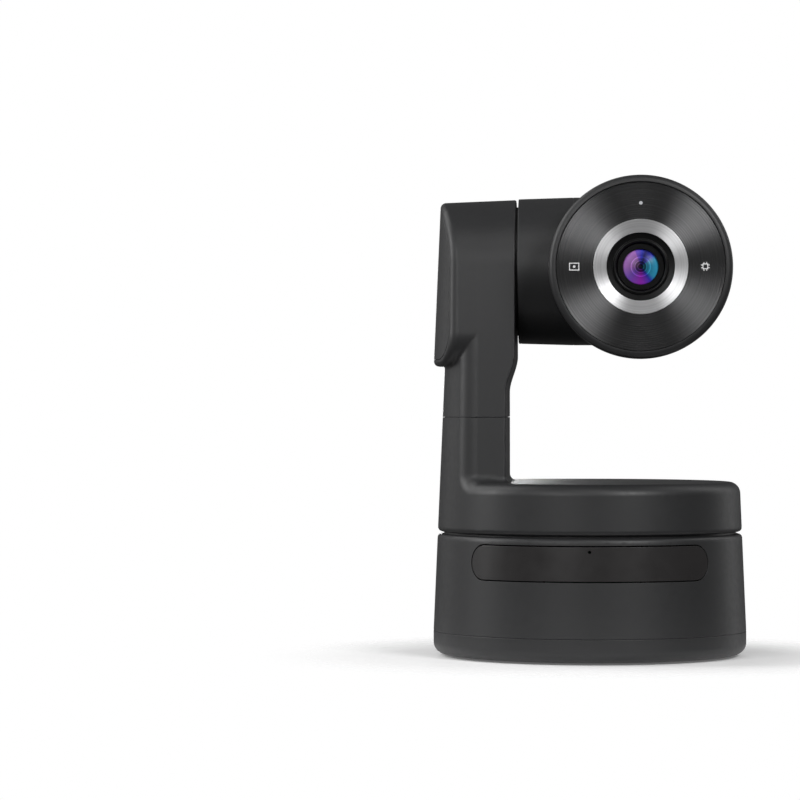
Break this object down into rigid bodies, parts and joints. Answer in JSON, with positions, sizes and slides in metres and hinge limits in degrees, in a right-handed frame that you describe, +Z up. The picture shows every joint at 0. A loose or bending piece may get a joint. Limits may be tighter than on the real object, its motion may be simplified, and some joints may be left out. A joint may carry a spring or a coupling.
{
  "type": "ptz camera",
  "caption": "Compact pan-tilt conference camera: round base with ports, turntable with a side arm, tilting camera head.",
  "frame": {"origin": "on the pan axis, at the surface that the camera stands on", "axes": "+Z up along the pan axis, -Y the way the lens looks at rest, the arm on the -X side"},
  "size_m": [0.12, 0.12, 0.1816],
  "materials": {
    "housing": "fine moulded texture, charcoal grey",
    "black_plastic": "matte black",
    "rubber": "matte rubber",
    "window": "gloss infrared-pass plastic",
    "pcb": "solder mask over fibreglass",
    "steel": "zinc plated",
    "bright_steel": "ground",
    "alloy": "cast and machined",
    "brass": "machined",
    "face_metal": "spun, dark anodised",
    "ring_metal": "brushed, clear anodised",
    "lens_glass": "coated",
    "light_pipe": "clear, lit white"
  },
  "bodies": {
    "base": {"bottom_cover": "housing", "foot_ring": "rubber", "tripod_insert": "brass", "cover_screws": "steel", "base_shell": "housing", "ir_window": "window", "front_board": "pcb", "main_board": "pcb", "board_screws": "steel", "io_panel": "black_plastic", "io_board": "pcb", "usb_c_socket": "steel", "hdmi_socket": "steel", "dc_socket": "black_plastic", "audio_socket": "black_plastic", "chassis_plate": "alloy", "chassis_screws": "steel", "pan_bearing_outer": "bright_steel", "pan_bearing_balls": "bright_steel", "pan_motor": "steel", "home_sensor": "black_plastic"},
    "turntable": {"turntable_shell": "housing", "turntable_plate": "alloy", "pan_gear": "brass", "pan_bearing_inner": "bright_steel", "hub_nut": "steel", "turntable_screws": "steel", "arm_shell": "housing", "arm_cover": "housing", "arm_frame": "alloy", "frame_screws": "steel", "tilt_bearing_outer": "bright_steel", "tilt_bearing_balls": "bright_steel", "tilt_motor": "steel"},
    "pan_drive": {"pan_motor_shaft": "bright_steel", "pan_pinion": "brass"},
    "tilt_drive": {"tilt_motor_shaft": "bright_steel", "tilt_pinion": "brass"},
    "head": {"head_upper_shell": "housing", "head_lower_shell": "housing", "head_screws": "steel", "neck_tube": "housing", "neck_screws": "steel", "tilt_shaft": "bright_steel", "tilt_gear": "brass", "tilt_bearing_inner": "bright_steel", "shaft_clip": "steel", "front_bezel": "housing", "face_plate": "face_metal", "lens_ring": "ring_metal", "lens_hood": "black_plastic", "lens_barrel": "black_plastic", "front_lens": "lens_glass", "lens_holder": "black_plastic", "sensor_board": "pcb", "head_board": "pcb", "heat_sink": "alloy", "status_light": "light_pipe"},
    "focus_group": {"focus_cell": "black_plastic", "focus_lens": "lens_glass"}
  },
  "joints": [
    {"name": "pan", "type": "hinge", "parent": "base", "child": "turntable", "pos_m": [0, 0, 0.0476], "axis": [0, 0, 1], "range_deg": [-170, 170]},
    {"name": "tilt", "type": "hinge", "parent": "turntable", "child": "head", "pos_m": [0, 0, 0.1474], "axis": [-1, 0, 0], "range_deg": [-90, 90]},
    {"name": "pan_motor_spin", "type": "hinge", "parent": "base", "child": "pan_drive", "pos_m": [0.032, 0, 0.053], "axis": [0, 0, 1], "range_deg": [-700, 700]},
    {"name": "tilt_motor_spin", "type": "hinge", "parent": "turntable", "child": "tilt_drive", "pos_m": [-0.036, 0, 0.1216], "axis": [-1, 0, 0], "range_deg": [-400, 400]},
    {"name": "focus", "type": "slide", "parent": "head", "child": "focus_group", "axis": [0, -1, 0], "range_m": [-0.0006, 0.0006]}
  ],
  "couplings": [
    {"joint": "pan_motor_spin", "follows": "pan", "ratio": -4},
    {"joint": "tilt_motor_spin", "follows": "tilt", "ratio": -4.375}
  ]
}
